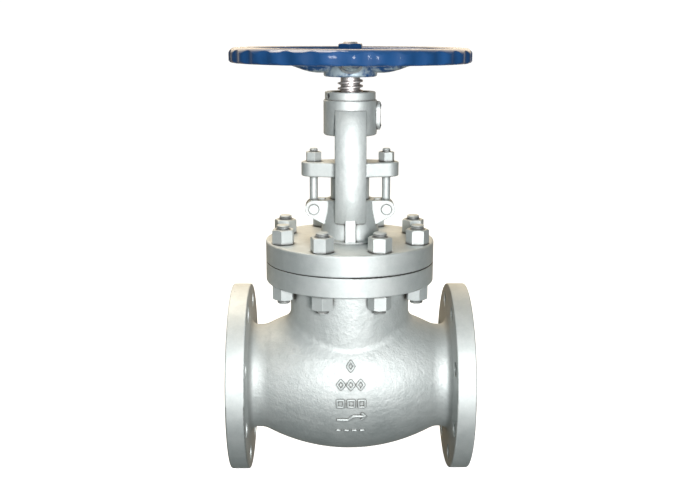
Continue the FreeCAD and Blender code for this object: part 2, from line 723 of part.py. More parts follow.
def gland_pin(side):
    head = LUG_OUT + PIN_HEAD_T
    clip = LUG_OUT + PIN_CLIP_T
    pin = lathe([
        (0, -head, 0), (PIN_HEAD_R, -head, 1.0), (PIN_HEAD_R, -LUG_OUT, 0), (PIN_R, -LUG_OUT, 0),
        (PIN_R, LUG_OUT, 0), (PIN_CLIP_R, LUG_OUT, 0), (PIN_CLIP_R, clip, 0.8), (0, clip, 0),
    ])
    pin.rotate(CENTRE, V(1, 0, 0), -90)
    return moved(pin, side * GLAND_BOLT_X, 0, LUG_Z)


def gland_nut(side):
    turn = RIGHT_GLAND_NUT_TURN if side > 0 else LEFT_GLAND_NUT_TURN
    nut = turned(hex_nut(GLAND_NUT_AF, EYEBOLT_R + SLIP_GAP, GLAND_NUT_H), turn)
    return moved(nut, side * GLAND_BOLT_X, 0, GLAND_TOP)


# ---------------------------------------------------------------- stem, screw and yoke nut

def helix_ridge(root, crest, root_width, crest_width, bottom, top):
    """A right-hand helical ridge of trapezoid section between two heights."""
    path = Part.makeHelix(THREAD_PITCH, top - bottom, root)
    section = Part.makePolygon([
        V(root, 0, -root_width / 2), V(crest, 0, -crest_width / 2),
        V(crest, 0, crest_width / 2), V(root, 0, root_width / 2), V(root, 0, -root_width / 2),
    ])
    ridge = Part.Wire(path.Edges).makePipeShell([section], True, True)
    ridge.translate(V(0, 0, bottom))
    return ridge


def thread_widths(gap):
    """Root and crest widths of the ridge, for a 30 degree trapezoid thinned by a gap on each flank."""
    depth = THREAD_CREST_R - THREAD_ROOT_R
    middle = THREAD_PITCH / 2 - 2 * gap
    return middle + depth * FLANK_SLOPE, middle - depth * FLANK_SLOPE


def stem():
    core = lathe([
        (0, HEAD_BOTTOM, 0), (HEAD_R, HEAD_BOTTOM, 1.5), (HEAD_R, HEAD_TOP, 1.0), (STEM_R, HEAD_TOP, 0),
        (STEM_R, COLLAR_Z - COLLAR_CONE_H, 0), (COLLAR_R, COLLAR_Z, 0), (COLLAR_R, COLLAR_Z + COLLAR_H, 0),
        (STEM_R, COLLAR_Z + COLLAR_H + COLLAR_CONE_H, 0), (STEM_R, THREAD_START, 0),
        (THREAD_ROOT_R, THREAD_START + 3, 0), (THREAD_ROOT_R, HUB_BOTTOM, 0), (0, HUB_BOTTOM, 0),
    ])
    root_width, crest_width = thread_widths(THREAD_GAP / 2)
    ridge = helix_ridge(THREAD_ROOT_R - THREAD_SINK, THREAD_CREST_R,
                        root_width + 2 * THREAD_SINK * FLANK_SLOPE, crest_width,
                        THREAD_START - 2, THREAD_END - 3)
    top = rod(THREAD_ROOT_R, HUB_BOTTOM, HUB_TOP - 1)
    half = STEM_SQUARE / 2
    top = top.common(Part.makeBox(STEM_SQUARE, STEM_SQUARE, 60, V(-half, -half, HUB_BOTTOM - 1)))
    end = lathe([(0, HUB_TOP - 1, 0), (STEM_END_R, HUB_TOP - 1, 0)]
                + threaded_tip(STEM_END_R, HUB_TOP + 2, STEM_TOP - HUB_TOP - 2.6, STUD_PITCH, 0.9)
                + [(0, STEM_TOP, 0)])
    return core.fuse([ridge, top, end])


def yoke_nut():
    """Bush of the yoke that carries the stem; its plain bore clears the crests of the stem's screw."""
    bottom = SLEEVE_BOTTOM + 1
    top = RING_TOP - 1.5
    outside = SLEEVE_BORE - SLIP_GAP
    bore = THREAD_CREST_R + LOOSE_GAP
    return lathe([
        (bore, bottom, 0), (outside, bottom, 0.8), (outside, top, 0.8), (bore, top, 0),
    ])


def grub_axis():
    angle = math.radians(GRUB_ANGLE)
    return V(math.sin(angle), -math.cos(angle), 0)


def yoke_nut_retainer():
    ring = lathe([
        (SLEEVE_BORE + 0.05, SLEEVE_TOP, 0), (RING_R, SLEEVE_TOP, 0), (RING_R, RING_TOP, 1.4),
        (SLEEVE_BORE + 0.05, RING_TOP, 0.6),
    ])
    middle = (SLEEVE_TOP + RING_TOP) / 2
    hole = Part.makeCylinder(GRUB_R + SLIP_GAP, 20, V(0, 0, middle) + grub_axis() * 20, grub_axis())
    return ring.cut(hole)


def retainer_grub_screw():
    middle = (SLEEVE_TOP + RING_TOP) / 2
    start = V(0, 0, middle) + grub_axis() * (SLEEVE_BORE + LOOSE_GAP)
    length = RING_R - SLEEVE_BORE - 2.0
    screw = Part.makeCylinder(GRUB_R, length, start, grub_axis())
    socket = hex_prism(2.5, 0, 3)
    socket.rotate(CENTRE, V(0, 1, 0), 90)
    socket.rotate(CENTRE, TOP, math.degrees(math.atan2(grub_axis().y, grub_axis().x)))
    socket.translate(start + grub_axis() * (length - 1.8))
    return screw.cut(socket)


# ---------------------------------------------------------------- handwheel

def wheel_envelope():
    """Upright prism with a wavy outline, one soft lobe for each finger."""
    mean = WHEEL_R - WHEEL_FLUTE / 2
    step = 360.0 / WHEEL_LOBES

    def place(radius, degrees):
        angle = math.radians(degrees)
        return V(radius * math.cos(angle), radius * math.sin(angle), RIM_BOTTOM - 5)

    edges = []
    for i in range(WHEEL_LOBES):
        crest = -90 + i * step
        low = crest + step / 2
        edges.append(Part.Arc(place(mean, crest - step / 4), place(WHEEL_R, crest),
                              place(mean, crest + step / 4)).toShape())
        edges.append(Part.Arc(place(mean, crest + step / 4), place(WHEEL_R - WHEEL_FLUTE, low),
                              place(mean, low + step / 4)).toShape())
    return Part.Face(Part.Wire(edges)).extrude(V(0, 0, 30))


def spoke():
    """One spoke along +X: flat by the hub, then dished up to the rim."""
    sections = []
    for x, z, half_width, half_height in SPOKE_STATIONS:
        centre = V(x, 0, z)
        ellipse = Part.Ellipse(centre + V(0, half_width, 0), centre + V(0, 0, half_height), centre)
        sections.append(Part.Wire(ellipse.toShape()))
    return Part.makeLoft(sections, True, False)


def handwheel():
    outside = WHEEL_R + 0.5
    rim = lathe([
        (RIM_IN, RIM_BOTTOM, 4.5), (outside, RIM_BOTTOM, 5.0),
        (outside, RIM_TOP, 9.0), (RIM_IN, RIM_TOP, 7.0),
    ]).common(wheel_envelope())
    hub = lathe([
        (0, HUB_BOTTOM, 0), (HUB_R, HUB_BOTTOM, 2.5), (HUB_R, HUB_TOP - 3, 3.0),
        (WHEEL_WASHER_R + 4, HUB_TOP, 2.0), (0, HUB_TOP, 0),
    ])
    wheel = rim
    for i in range(SPOKES):
        wheel = wheel.fuse(turned(spoke(), -90 + 360.0 * i / SPOKES))
    wheel = wheel.fuse(hub)
    half = STEM_SQUARE / 2 + SLIP_GAP
    square = Part.makeBox(2 * half, 2 * half, 60, V(-half, -half, HUB_BOTTOM - 10))
    hole = square.common(rod(THREAD_ROOT_R + SLIP_GAP, HUB_BOTTOM - 10, HUB_TOP + 10))
    return wheel.cut(hole)


def handwheel_washer():
    return tube(WHEEL_WASHER_R, STEM_END_R + LOOSE_GAP, HUB_TOP, HUB_TOP + WHEEL_WASHER_T)


def handwheel_nut():
    nut = hex_nut(WHEEL_NUT_AF, STEM_END_R + RUNNING_GAP, WHEEL_NUT_H)
    return moved(turned(nut, WHEEL_NUT_TURN), 0, 0, HUB_TOP + WHEEL_WASHER_T)


# ---------------------------------------------------------------- blank plate on the yoke sleeve

def id_plate():
    return plate_slab(0, PLATE_X, PLATE_X + PLATE_T)


def id_plate_rivets():
    head = along_x(lathe([(0, 0, 0), (RIVET_R, 0, 0), (RIVET_R, RIVET_H, 0.8), (0, RIVET_H, 0)]))
    face = PLATE_X + PLATE_T
    return Part.makeCompound([moved(head, face, 0, PLATE_Z + z) for z in (-RIVET_Z, RIVET_Z)])


# ---------------------------------------------------------------- all the pieces

def save(name, shape):
    placed = moved(shape, FACE_TO_FACE / 2, 0, 0)
    placed.exportStep("parts/" + name + ".step")
    volume = sum(solid.Volume for solid in placed.Solids)
    print(name, "solids", len(placed.Solids), "valid", placed.isValid(), "volume", round(volume))


def main():
    os.makedirs("parts", exist_ok=True)
    save("body", body())
    save("seat_ring", seat_ring())
    save("disc", disc())
    save("disc_thrust_washer", disc_thrust_washer())
    save("disc_nut", disc_nut())
    save("bonnet_gasket", bonnet_gasket())
    save("bonnet", bonnet())
    save("bonnet_studs", bonnet_studs())
    save("bonnet_nuts_upper", bonnet_nuts(True))
    save("bonnet_nuts_lower", bonnet_nuts(False))
    save("backseat_bush", backseat_bush())
    save("packing_washer", packing_washer())
    for index in range(PACKING_RINGS):
        save("packing_ring_" + str(index + 1), packing_ring(index))
    save("gland_follower", gland_follower())
    save("gland_flange", gland_flange())
    for name, side in (("left", -1), ("right", 1)):
        save("gland_eyebolt_" + name, gland_eyebolt(side))
        save("gland_pin_" + name, gland_pin(side))
        save("gland_nut_" + name, gland_nut(side))
    save("stem", stem())
    save("yoke_nut", yoke_nut())
    save("yoke_nut_retainer", yoke_nut_retainer())
    save("retainer_grub_screw", retainer_grub_screw())
    save("handwheel", handwheel())
    save("handwheel_washer", handwheel_washer())
    save("handwheel_nut", handwheel_nut())
    save("id_plate", id_plate())
    save("id_plate_rivets", id_plate_rivets())


main()
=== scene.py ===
import math

import bmesh
import bpy
from mathutils import Matrix, Vector


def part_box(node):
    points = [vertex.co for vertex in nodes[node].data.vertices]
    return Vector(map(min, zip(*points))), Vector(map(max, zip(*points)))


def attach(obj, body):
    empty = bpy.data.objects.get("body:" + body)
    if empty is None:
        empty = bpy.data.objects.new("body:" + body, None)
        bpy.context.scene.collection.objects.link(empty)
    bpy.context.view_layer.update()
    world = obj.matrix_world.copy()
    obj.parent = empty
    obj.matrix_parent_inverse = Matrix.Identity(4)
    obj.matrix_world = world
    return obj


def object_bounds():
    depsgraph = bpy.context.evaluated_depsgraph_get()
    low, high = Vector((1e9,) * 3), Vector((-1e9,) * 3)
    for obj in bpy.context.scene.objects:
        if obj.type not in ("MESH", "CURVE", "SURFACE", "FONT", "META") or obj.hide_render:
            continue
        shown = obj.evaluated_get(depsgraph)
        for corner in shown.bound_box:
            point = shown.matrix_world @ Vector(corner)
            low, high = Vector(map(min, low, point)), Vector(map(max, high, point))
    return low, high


# Looks of the flanged globe valve. Metres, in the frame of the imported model: the origin is the centre
# of the inlet flange face, X runs along the pipe, Z up the stem, and the front of the valve faces -Y.

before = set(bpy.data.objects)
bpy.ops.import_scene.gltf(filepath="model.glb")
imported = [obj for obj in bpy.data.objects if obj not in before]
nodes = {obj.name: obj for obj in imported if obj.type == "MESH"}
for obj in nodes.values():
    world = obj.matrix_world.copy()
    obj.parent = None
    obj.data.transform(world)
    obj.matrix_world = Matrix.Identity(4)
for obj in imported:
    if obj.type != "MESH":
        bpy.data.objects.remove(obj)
cad_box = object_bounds()

MM = 0.001
STEM_X = sum(corner.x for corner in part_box("bonnet_gasket")) / 2
FLOOR_Z = cad_box[0].z
FLANGE_FACE_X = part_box("body")[1].x
BONNET_JOINT_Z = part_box("bonnet_gasket")[1].z
BONNET_TOP_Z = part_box("bonnet_nuts_upper")[0].z
HUB_MIDDLE_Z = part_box("handwheel")[0].z + 0.012
RIM_MIDDLE_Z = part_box("handwheel")[1].z - 0.0088

# Where the finishes change: X is along the pipe from the stem axis, H a height and R a radius.
END_TURNED_X = 0.1215
END_GRIME_X = 0.112
END_RIM_R = 0.1125
BARE_FACE_X = FLANGE_FACE_X - STEM_X - 0.8 * MM
BARE_FACE_R = 0.0784
FACE_RING_PITCH = 0.0011
JOINT_TURNED_H = 0.0215
BONNET_TURNED_R = 0.0955
RIM_INNER_R = 0.118
RIM_TILTED_R = 0.128


# ---------------------------------------------------------------- node helpers

class Nodes:
    """Fills one node tree. Most calls add a node and return its output socket."""

    def __init__(self, tree):
        self.tree = tree
        self.tree.nodes.clear()

    def new(self, kind):
        return self.tree.nodes.new(kind)

    def feed(self, socket, value):
        if isinstance(value, bpy.types.NodeSocket):
            self.tree.links.new(value, socket)
        else:
            socket.default_value = value

    def math(self, kind, a, b=0.0):
        node = self.new("ShaderNodeMath")
        node.operation = kind
        for socket, value in zip(node.inputs, (a, b)):
            self.feed(socket, value)
        return node.outputs[0]

    def vector(self, kind, a, b=(0.0, 0.0, 0.0)):
        node = self.new("ShaderNodeVectorMath")
        node.operation = kind
        self.feed(node.inputs[0], a)
        self.feed(node.inputs[1], b)
        return node.outputs["Value"] if kind == "DOT_PRODUCT" else node.outputs["Vector"]

    def split(self, vector):
        node = self.new("ShaderNodeSeparateXYZ")
        self.feed(node.inputs[0], vector)
        return node.outputs

    def ramp(self, value, low, high, out_low=0.0, out_high=1.0):
        node = self.new("ShaderNodeMapRange")
        node.interpolation_type = "SMOOTHSTEP"
        for key, number in (("From Min", low), ("From Max", high), ("To Min", out_low), ("To Max", out_high)):
            self.feed(node.inputs[key], number)
        self.feed(node.inputs["Value"], value)
        return node.outputs["Result"]

    def mix(self, factor, a, b):
        node = self.new("ShaderNodeMix")
        node.data_type = "RGBA"
        for key, value in (("Factor", factor), ("A", a), ("B", b)):
            socket = [s for s in node.inputs if s.name == key and (key == "Factor" or s.type == "RGBA")][0]
            self.feed(socket, value)
        return [s for s in node.outputs if s.type == "RGBA"][0]


class Finish(Nodes):
    """One material: a Principled shader and the nodes that feed it."""

    def __init__(self, name):
        self.material = bpy.data.materials.new(name)
        self.material.use_nodes = True
        super().__init__(self.material.node_tree)
        self.shader = self.new("ShaderNodeBsdfPrincipled")
        self.feed(self.new("ShaderNodeOutputMaterial").inputs["Surface"], self.shader.outputs[0])
        self.position = self.new("ShaderNodeTexCoord").outputs["Object"]

    def from_stem(self):
        """Position along the pipe, across it and upwards, measured from the stem axis."""
        return self.split(self.vector("SUBTRACT", self.position, (STEM_X, 0.0, 0.0)))

    def distance(self, a, b):
        squares = self.math("ADD", self.math("MULTIPLY", a, a), self.math("MULTIPLY", b, b))
        return self.math("SQRT", squares)

    def true_normal(self):
        return self.new("ShaderNodeNewGeometry").outputs["Normal"]

    def noise(self, scale, detail=3.0, rough=0.55, vector=None):
        node = self.new("ShaderNodeTexNoise")
        self.feed(node.inputs["Vector"], vector or self.position)
        node.inputs["Scale"].default_value = scale
        node.inputs["Detail"].default_value = detail
        node.inputs["Roughness"].default_value = rough
        return node.outputs["Fac"]

    def bump(self, height, distance, normal=None, strength=1.0):
        node = self.new("ShaderNodeBump")
        node.inputs["Distance"].default_value = distance
        self.feed(node.inputs["Strength"], strength)
        self.feed(node.inputs["Height"], height)
        if normal is not None:
            self.feed(node.inputs["Normal"], normal)
        return node.outputs[0]

    def soft_edges(self, radius):
        node = self.new("ShaderNodeBevel")
        node.samples = 4
        node.inputs["Radius"].default_value = radius
        return node.outputs[0]

    def crevice(self, distance):
        """Ambient occlusion: 1 in the open, falling towards 0 in corners and gaps. The materials darken their
        colour by it as painted shade.
        """
        node = self.new("ShaderNodeAmbientOcclusion")
        node.samples = 8
        node.inputs["Distance"].default_value = distance
        return node.outputs["AO"]

    def edges(self, radius):
        """Rises along convex edges, where the rounded normal parts from the true one."""
        same = self.vector("DOT_PRODUCT", self.soft_edges(radius), self.true_normal())
        return self.ramp(same, 0.985, 0.80)

    def done(self, colour, metallic, roughness, normal, **constants):
        self.feed(self.shader.inputs["Base Color"], colour)
        self.feed(self.shader.inputs["Metallic"], metallic)
        self.feed(self.shader.inputs["Roughness"], roughness)
        self.feed(self.shader.inputs["Normal"], normal)
        for key, number in constants.items():
            self.shader.inputs[key.replace("_", " ")].default_value = number
        return self.material


# ---------------------------------------------------------------- materials

SILVER = (0.625, 0.655, 0.65, 1.0)
SILVER_DARK = (0.38, 0.43, 0.43, 1.0)
SILVER_WARM = (0.70, 0.69, 0.66, 1.0)
SILVER_WORN = (0.86, 0.87, 0.86, 1.0)
TURNED_STEEL = (0.56, 0.54, 0.51, 1.0)
# Dark colour for painted shade in corners, in gaps and on the flange backs, and for dark nicks in the flange
# rims.
SHADE_AND_NICK_DARK = (0.10, 0.095, 0.085, 1.0)
SILVER_METALLIC = 0.82


def silver_paint(name, cast, edge, smooth_mask=None, bare_mask=None, shade_and_nick_mask=None):
    """Aluminium paint with painted shade in corners. cast is how coarse the surface below is and edge how
    round its corners are;
    the first mask turns it smooth where machined, the second bares the turned metal, the third adds painted
    shade and nicks."""
    n = Finish(name)
    patches = n.noise(9.0, 4.0)
    mottle = n.noise(55.0, 4.0, 0.65)
    grain = n.noise(420.0, 3.0, 0.7)
    fine = n.noise(1500.0, 2.0, 0.6)
    cover = n.ramp(mottle, 0.30, 0.72)
    colour = n.mix(n.math("MULTIPLY", cover, 0.30), SILVER, SILVER_DARK)
    colour = n.mix(n.ramp(patches, 0.35, 0.75, 0.0, 0.16), colour, SILVER_WARM)
    # Painted shade: the colour darkens towards the dark colour in corners and gaps, by ambient occlusion at
    # two distances.
    colour = n.mix(n.ramp(n.crevice(0.009), 0.25, 0.85, 0.75, 0.0), colour, SHADE_AND_NICK_DARK)
    colour = n.mix(n.ramp(n.crevice(0.0035), 0.55, 0.97, 0.85, 0.0), colour, SHADE_AND_NICK_DARK)
    # The third mask adds the dark colour: on the body, painted shade on the flange backs and dark nicks in
    # their rims.
    if shade_and_nick_mask is not None:
        colour = n.mix(shade_and_nick_mask(n), colour, SHADE_AND_NICK_DARK)
    worn = n.math("MULTIPLY", n.edges(0.0012), n.ramp(mottle, 0.45, 0.62))
    colour = n.mix(n.math("MULTIPLY", worn, 0.6), colour, SILVER_WORN)
    rough = n.ramp(grain, 0.25, 0.75, 0.60, 0.70)
    rough = n.math("ADD", rough, n.ramp(patches, 0.3, 0.7, -0.03, 0.04))
    pitting = n.math("MULTIPLY", n.noise(150.0, 4.0, 0.6), 0.75)
    coarse = n.math("ADD", pitting, n.math("MULTIPLY", grain, 0.35))
    depth = cast
    if smooth_mask is not None:
        keep = n.math("SUBTRACT", 1.0, smooth_mask(n))
        depth = n.math("MULTIPLY", n.math("ADD", n.math("MULTIPLY", keep, 0.88), 0.12), cast)
    normal = n.soft_edges(edge)
    normal = n.bump(coarse, 0.0016, normal, depth)
    normal = n.bump(fine, 0.0001, normal, 0.30)
    metallic = SILVER_METALLIC
    if bare_mask is not None:
        bare, groove = bare_mask(n)
        colour = n.mix(bare, colour, TURNED_STEEL)
        metallic = n.math("ADD", n.math("MULTIPLY", bare, 1.0 - SILVER_METALLIC), SILVER_METALLIC)
        rough = n.math("SUBTRACT", rough, n.math("MULTIPLY", bare, 0.12))
        normal = n.bump(n.math("MULTIPLY", groove, bare), 0.00035, normal, 1.0)
    return n.done(colour, metallic, rough, normal)


def body_machined(n):
    """The end flanges' faces and rims, and the flange under the bonnet, are turned smooth."""
    x, y, z = n.from_stem()
    ends = n.math("GREATER_THAN", n.math("ABSOLUTE", x), END_TURNED_X)
    joint = n.math("GREATER_THAN", z, BONNET_JOINT_Z - JOINT_TURNED_H)
    return n.math("MAXIMUM", ends, joint)


def raised_face(n):
    """The gasket faces of the two end flanges, bare and turned with fine rings."""
    x, y, z = n.from_stem()
    pipe = n.distance(y, z)
    face = n.math("GREATER_THAN", n.math("ABSOLUTE", x), BARE_FACE_X)
    inside = n.math("LESS_THAN", pipe, BARE_FACE_R)
    rings = n.math("SINE", n.math("MULTIPLY", pipe, 2 * math.pi / FACE_RING_PITCH))
    return n.math("MULTIPLY", face, inside), rings


def flange_shade_and_nicks(n):
    """Painted shade on the back faces of the end flanges, which turn away from the lamps, and a few dark
    nicks in their rims.
    """
    x, y, z = n.from_stem()
    outward = n.math("MULTIPLY", n.split(n.true_normal())[0], n.math("SIGN", x))
    far_out = n.math("GREATER_THAN", n.math("ABSOLUTE", x), END_GRIME_X)
    # Painted shade: faces that turn back towards the stem are darkened.
    backs = n.math("MULTIPLY", n.ramp(outward, -0.3, -0.9, 0.0, 0.38), far_out)
    rims = n.math("MULTIPLY", n.math("GREATER_THAN", n.distance(y, z), END_RIM_R), far_out)
    nicks = n.math("MULTIPLY", n.ramp(n.noise(85.0, 3.0, 0.6), 0.70, 0.73, 0.0, 0.75), rims)
    return n.math("MAXIMUM", backs, nicks)


def bonnet_machined(n):
    """The bonnet flange is turned; the stuffing box and yoke above it stay as cast."""
    x, y, z = n.from_stem()
    outer = n.math("GREATER_THAN", n.distance(x, y), BONNET_TURNED_R)
    return n.math("MULTIPLY", outer, n.math("LESS_THAN", z, BONNET_TOP_Z + 0.1 * MM))


def machined_steel():
    """Turned steel with fine lathe marks and light stains."""
    n = Finish("machined_steel")
    turning = n.noise(1.0, 2.0, 0.5, n.vector("MULTIPLY", n.position, (20.0, 20.0, 2600.0)))
    stain = n.noise(70.0, 4.0, 0.6)
    colour = n.mix(n.ramp(stain, 0.35, 0.7), (0.80, 0.75, 0.74, 1.0), (0.62, 0.58, 0.57, 1.0))
    # Painted shade: darker in corners and gaps, by ambient occlusion.
    colour = n.mix(n.ramp(n.crevice(0.006), 0.2, 0.85, 0.85, 0.0), colour, (0.09, 0.08, 0.075, 1.0))
    rough = n.ramp(turning, 0.3, 0.7, 0.40, 0.52)
    normal = n.bump(turning, 0.00006, n.soft_edges(0.0004), 0.6)
    return n.done(colour, 0.9, rough, normal)


def bronze():
    """Turned bronze, darker where it is stained."""
    n = Finish("bronze")
    turning = n.noise(1.0, 2.0, 0.5, n.vector("MULTIPLY", n.position, (30.0, 30.0, 2200.0)))
    stain = n.noise(90.0, 4.0, 0.6)
    colour = n.mix(n.ramp(stain, 0.35, 0.7), (0.62, 0.40, 0.17, 1.0), (0.36, 0.22, 0.10, 1.0))
    # Painted shade: darker in corners and gaps, by ambient occlusion.
    colour = n.mix(n.ramp(n.crevice(0.005), 0.2, 0.85, 0.8, 0.0), colour, (0.06, 0.045, 0.03, 1.0))
    rough = n.ramp(turning, 0.3, 0.7, 0.26, 0.42)
    normal = n.bump(turning, 0.00006, n.soft_edges(0.0004), 0.6)
    return n.done(colour, 1.0, rough, normal)


def graphite():
    """Dull black with a fine grain."""
    n = Finish("graphite")
    weave = n.noise(900.0, 3.0, 0.6)
    colour = n.mix(n.ramp(weave, 0.3, 0.7), (0.030, 0.030, 0.033, 1.0), (0.075, 0.075, 0.08, 1.0))
    rough = n.ramp(weave, 0.3, 0.7, 0.45, 0.70)
    return n.done(colour, 0.3, rough, n.bump(weave, 0.0002))


BLUE = (0.009, 0.046, 0.135, 1.0)
BLUE_LIGHT = (0.013, 0.062, 0.180, 1.0)
OVERSPRAY = (0.50, 0.60, 0.64, 1.0)
COAT_TILT = 38.0


def blue_enamel():
    """Thick glossy blue paint on the handwheel, with silver overspray under the hub and spokes. The
    coat's normal tilts by COAT_TILT per metre above or below the middle of the rim, as if it were crowned."""
    n = Finish("blue_enamel")
    x, y, z = n.from_stem()
    radius = n.distance(x, y)
    patches = n.noise(22.0, 3.0)
    runs = n.noise(75.0, 3.0, 0.6)
    grain = n.noise(700.0, 2.0)
    colour = n.mix(n.ramp(patches, 0.3, 0.7), BLUE, BLUE_LIGHT)
    # Painted shade: darker in corners and gaps, by ambient occlusion.
    colour = n.mix(n.ramp(n.crevice(0.010), 0.2, 0.9, 0.8, 0.0), colour, (0.004, 0.012, 0.035, 1.0))
    chips = n.math("MULTIPLY", n.edges(0.0009), n.ramp(n.noise(260.0, 4.0, 0.7), 0.60, 0.66))
    colour = n.mix(chips, colour, (0.25, 0.25, 0.25, 1.0))
    upward = n.split(n.true_normal())[2]
    facing_down = n.ramp(upward, -0.15, -0.75)
    inner = n.ramp(radius, RIM_INNER_R, 0.070)
    low_down = n.ramp(z, HUB_MIDDLE_Z + 0.008, HUB_MIDDLE_Z - 0.004)
    hub = n.math("MULTIPLY", n.ramp(radius, 0.040, 0.032), low_down)
    below = n.math("MAXIMUM", n.math("MULTIPLY", facing_down, inner), n.math("MULTIPLY", hub, 0.8))
    spray = n.math("MULTIPLY", below, n.ramp(runs, 0.34, 0.60))
    colour = n.mix(spray, colour, OVERSPRAY)
    rough = n.ramp(grain, 0.3, 0.7, 0.50, 0.60)
    normal = n.bump(n.noise(300.0, 2.0), 0.0002, n.soft_edges(0.0028), 0.35)
    normal = n.bump(runs, 0.0010, normal, 0.35)
    tilt = n.ramp(radius, RIM_INNER_R, RIM_TILTED_R, 0.0, COAT_TILT)
    crown = n.math("MULTIPLY", n.math("SUBTRACT", z, RIM_MIDDLE_Z), tilt)
    crowned = n.vector("ADD", normal, n.vector("MULTIPLY", crown, (0.0, 0.0, 1.0)))
    n.feed(n.shader.inputs["Coat Normal"], n.vector("NORMALIZE", crowned))
    n.feed(n.shader.inputs["Coat Weight"], n.ramp(upward, 0.25, 0.80, 0.09, 1.0))
    return n.done(colour, n.math("MULTIPLY", spray, 0.6), rough, normal,
                  Coat_Roughness=0.05, Coat_IOR=1.45, Specular_IOR_Level=0.10,
                  Sheen_Weight=0.25, Sheen_Roughness=0.25, Sheen_Tint=(1.0, 0.95, 0.88, 1.0))


def plate_metal():
    """Dark brushed metal."""
    n = Finish("plate_metal")
    brushed = n.noise(1.0, 2.0, 0.5, n.vector("MULTIPLY", n.position, (40.0, 40.0, 1800.0)))
    stain = n.noise(120.0, 3.0)
    colour = n.mix(n.ramp(stain, 0.3, 0.7), (0.17, 0.165, 0.16, 1.0), (0.09, 0.088, 0.085, 1.0))
    # Painted shade: darker in corners and gaps, by ambient occlusion.
    colour = n.mix(n.ramp(n.crevice(0.003), 0.2, 0.9, 0.8, 0.0), colour, (0.05, 0.05, 0.05, 1.0))
    rough = n.ramp(brushed, 0.3, 0.7, 0.40, 0.52)
    return n.done(colour, 0.8, rough, n.bump(brushed, 0.00005, n.soft_edges(0.0002), 0.6))


def paint(material, *names):
    """Gives the named CAD nodes this material alone."""
    for name in names:
        slots = nodes[name].data.materials
        slots.clear()
        slots.append(material)


body_paint = silver_paint("silver_paint_body", 0.60, 0.0012, body_machined, raised_face, flange_shade_and_nicks)
bonnet_paint = silver_paint("silver_paint_bonnet", 0.34, 0.0022, bonnet_machined)
small_paint = silver_paint("silver_paint_small", 0.12, 0.0014)
nut_paint = silver_paint("silver_paint_nuts", 0.06, 0.0007)
steel = machined_steel()
enamel = blue_enamel()

paint(body_paint, "body")
paint(bonnet_paint, "bonnet")
paint(small_paint, "gland_flange", "gland_follower", "yoke_nut_retainer")
paint(nut_paint, "bonnet_studs", "bonnet_nuts_upper", "bonnet_nuts_lower",
      "gland_eyebolt_left", "gland_eyebolt_right", "gland_pin_left", "gland_pin_right",
      "gland_nut_left", "gland_nut_right")
paint(steel, "stem", "seat_ring", "disc", "disc_nut", "disc_thrust_washer", "packing_washer", "bonnet_gasket")
paint(bronze(), "yoke_nut", "backseat_bush")
# The grub screw is black oxide steel, as dark as the packing.
paint(graphite(), "retainer_grub_screw", *["packing_ring_%d" % i for i in range(1, 6)])
paint(enamel, "handwheel", "handwheel_washer", "handwheel_nut")
paint(plate_metal(), "id_plate", "id_plate_rivets")


# ---------------------------------------------------------------- marks cast on the belly

MARK_RADIUS = 1.55 * MM
SHAFT_RADIUS = 2.0 * MM
HEAD_RADIUS = 1.7 * MM
STROKE_STEP = 1.2
DASH_HALF = 2.6


def on_belly(u, z):
    """The point of the body's front that lies at u across from the stem axis and at height z."""
    start = Vector((STEM_X + u, -1.0, z))
    return nodes["body"].ray_cast(start, Vector((0.0, 1.0, 0.0)))[1]


def raised_stroke(points, closed=False, radius=MARK_RADIUS):
    """A rounded ridge along a line of (across, height) points in millimetres, half sunk in the belly."""
    curve = bpy.data.curves.new("stroke", "CURVE")
    curve.dimensions = "3D"
    curve.bevel_depth = radius
    curve.bevel_resolution = 4
    curve.use_fill_caps = True
    spline = curve.splines.new("POLY")
    spline.use_cyclic_u = closed
    corners = [Vector(point) for point in points]
    if closed:
        corners.append(corners[0])
    dense = []
    for a, b in zip(corners, corners[1:]):
        steps = max(2, int((b - a).length / STROKE_STEP))
        dense += [a.lerp(b, k / steps) for k in range(steps)]
    if not closed:
        dense.append(corners[-1])
    spline.points.add(len(dense) - 1)
    for point, flat in zip(spline.points, dense):
        point.co = (*on_belly(flat[0] * MM, flat[1] * MM), 1.0)
    return bpy.data.objects.new("stroke", curve)


def join_strokes(strokes, name):
    """Turns the strokes into one mesh that rides on the valve body."""
    merged = bmesh.new()
    for stroke in strokes:
        bpy.context.scene.collection.objects.link(stroke)
        bpy.context.view_layer.update()
        shaped = stroke.evaluated_get(bpy.context.evaluated_depsgraph_get())
        mesh = bpy.data.meshes.new_from_object(shaped)
        merged.from_mesh(mesh)
        bpy.data.objects.remove(stroke)
        bpy.data.meshes.remove(mesh)
    mesh = bpy.data.meshes.new(name)
    merged.to_mesh(mesh)
    merged.free()
    for polygon in mesh.polygons:
        polygon.use_smooth = True
    mesh.materials.append(body_paint)
    piece = bpy.data.objects.new(name, mesh)
    bpy.context.scene.collection.objects.link(piece)
    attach(piece, "valve_body")


# The outlines of the marks are in millimetres: u is across from the stem axis, z the height.

def diamond(u, z, half_width, half_height):
    return [(u, z + half_height), (u - half_width, z), (u, z - half_height), (u + half_width, z)]


def block(u, z, half_width, half_height):
    return [(u - half_width, z - half_height), (u + half_width, z - half_height),
            (u + half_width, z + half_height), (u - half_width, z + half_height)]


